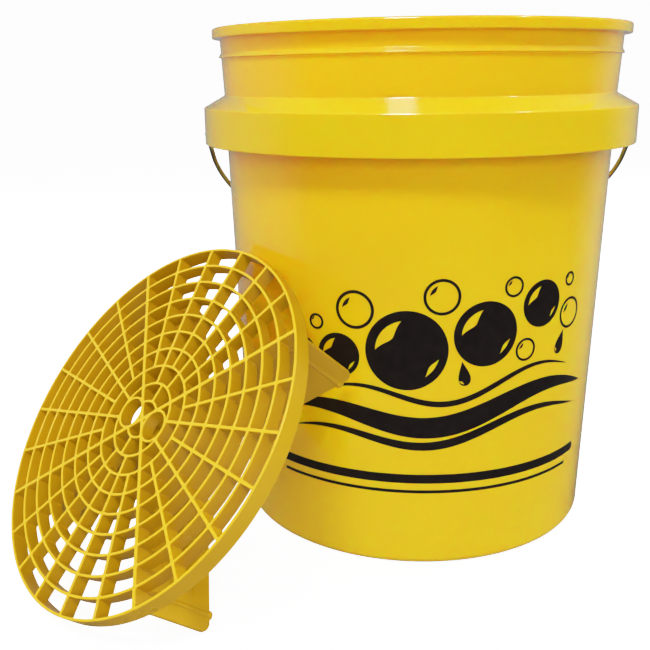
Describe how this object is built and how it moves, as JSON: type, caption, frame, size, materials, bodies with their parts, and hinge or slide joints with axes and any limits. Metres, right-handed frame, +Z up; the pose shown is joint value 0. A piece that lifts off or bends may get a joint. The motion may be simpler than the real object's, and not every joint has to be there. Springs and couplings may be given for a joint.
{
  "type": "wash bucket",
  "caption": "Tapered plastic wash bucket with a wire bail, a roller grip and a round ribbed grit guard leaning against its side.",
  "frame": {"origin": "centre of the bucket's base, on the surface that it stands on", "axes": "+Z up through the mouth, X along the bail's hinge axis, -Y towards the printed front"},
  "size_m": [0.4528, 0.4168, 0.361],
  "materials": {
    "pail_plastic": "smooth glossy yellow moulding",
    "bail_steel": "drawn zinc-plated steel wire, 3.2 mm",
    "grip_plastic": "fine matt black moulding",
    "guard_plastic": "satin yellow moulding",
    "print_ink": "black screen-printed ink"
  },
  "bodies": {
    "bucket": {"bucket_shell": "pail_plastic", "left_bail_ear": "pail_plastic", "right_bail_ear": "pail_plastic"},
    "bail": {"bail_wire": "bail_steel"},
    "grip": {"bail_grip": "grip_plastic"},
    "grit_guard": {"guard_grid": "guard_plastic", "guard_right_vane": "guard_plastic", "guard_upper_vane": "guard_plastic", "guard_left_vane": "guard_plastic", "guard_lower_vane": "guard_plastic"}
  },
  "joints": [
    {"name": "bail_swing", "type": "hinge", "parent": "bucket", "child": "bail", "pos_m": [0, 0, 0.2875], "axis": [1, 0, 0], "range_deg": [0, 248]},
    {"name": "grip_spin", "type": "hinge", "parent": "bail", "child": "grip", "pos_m": [0, 0.15003, 0.15891], "axis": [1, 0, 0], "continuous": true},
    {"name": "guard_tip", "type": "hinge", "parent": "bucket", "child": "grit_guard", "pos_m": [-0.2414, -0.19826, 0.00483], "axis": [0.6845, -0.729, 0], "range_deg": [0, 129]}
  ]
}
